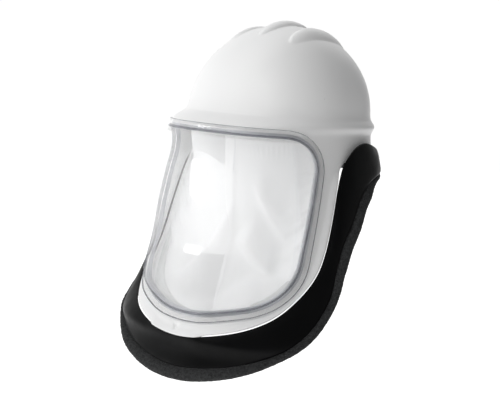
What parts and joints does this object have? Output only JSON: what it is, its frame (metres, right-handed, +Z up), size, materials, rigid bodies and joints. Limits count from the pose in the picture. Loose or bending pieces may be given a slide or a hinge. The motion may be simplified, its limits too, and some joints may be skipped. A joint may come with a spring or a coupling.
{
  "type": "air-fed painter's helmet",
  "caption": "Air-fed painter's helmet: ribbed white cap with face frame and wrap-round clear lens, rubber neck trim, foam bead, fabric face seal, ratchet headband and rear air inlet.",
  "frame": {"origin": "middle of the headband, where the wearer's head sits, on the helmet's plane of symmetry", "axes": "+Z up through the crown, -Y towards the lens, +X towards the wearer's left"},
  "size_m": [0.3102, 0.3728, 0.4445],
  "materials": {
    "shell_white": "moulded, satin gloss",
    "lens_clear": "clear polished polycarbonate",
    "gasket_grey": "soft grey extrusion",
    "trim_rubber": "satin moulded rubber",
    "bead_foam": "closed-cell foam, granular",
    "seal_fabric": "coated woven fabric, creased",
    "hem_fabric": "elastic in a sewn tunnel",
    "retainer_white": "satin",
    "band_plastic": "soft satin",
    "sweat_pad": "brushed knit over foam",
    "strap_webbing": "woven webbing",
    "ratchet_black": "fine spark texture",
    "knob_black": "soft touch",
    "pinion_white": "self-coloured acetal",
    "screw_steel": "zinc plated",
    "inlet_black": "moulded",
    "seal_rubber": "matte",
    "duct_white": "satin",
    "filter_foam": "open-cell foam",
    "flap_grey": "satin"
  },
  "bodies": {
    "helmet": {"shell": "shell_white", "lens_gasket": "gasket_grey", "neck_trim": "trim_rubber", "foam_bead": "bead_foam", "face_seal": "seal_fabric", "face_seal_hem": "hem_fabric", "seal_retainer": "retainer_white", "headband": "band_plastic", "sweatband": "sweat_pad", "crown_straps": "strap_webbing", "crown_pad": "sweat_pad", "suspension_keys": "band_plastic", "inlet_spigot": "inlet_black", "inlet_seal": "seal_rubber", "inlet_locknut": "inlet_black", "inlet_plenum": "duct_white", "air_duct": "duct_white", "duct_saddle": "ratchet_black", "outlet_foam": "filter_foam"},
    "lens_unit": {"lens": "lens_clear"},
    "nape_unit": {"nape_band": "band_plastic", "nape_pad": "sweat_pad", "ratchet_housing": "ratchet_black", "ratchet_cover": "ratchet_black", "ratchet_screws": "screw_steel"},
    "knob_unit": {"ratchet_knob": "knob_black", "ratchet_pinion": "pinion_white"},
    "deflector_unit": {"deflector_flap": "flap_grey", "deflector_pin": "screw_steel"}
  },
  "joints": [
    {"name": "lens_removal", "type": "slide", "parent": "helmet", "child": "lens_unit", "axis": [0, -1, 0], "range_m": [0, 0.12]},
    {"name": "nape_slide", "type": "slide", "parent": "helmet", "child": "nape_unit", "axis": [0, -0.9397, 0.342], "range_m": [0, 0.015]},
    {"name": "knob_turn", "type": "hinge", "parent": "nape_unit", "child": "knob_unit", "pos_m": [0, 0.10668, -0.02791], "axis": [0, -0.9397, 0.342], "range_deg": [0, 180]},
    {"name": "deflector_tilt", "type": "hinge", "parent": "helmet", "child": "deflector_unit", "pos_m": [0, -0.1045, 0.026], "axis": [-1, 0, 0], "range_deg": [0, 35]}
  ],
  "couplings": [
    {"joint": "knob_turn", "follows": "nape_slide", "rad_per_m": 209}
  ]
}
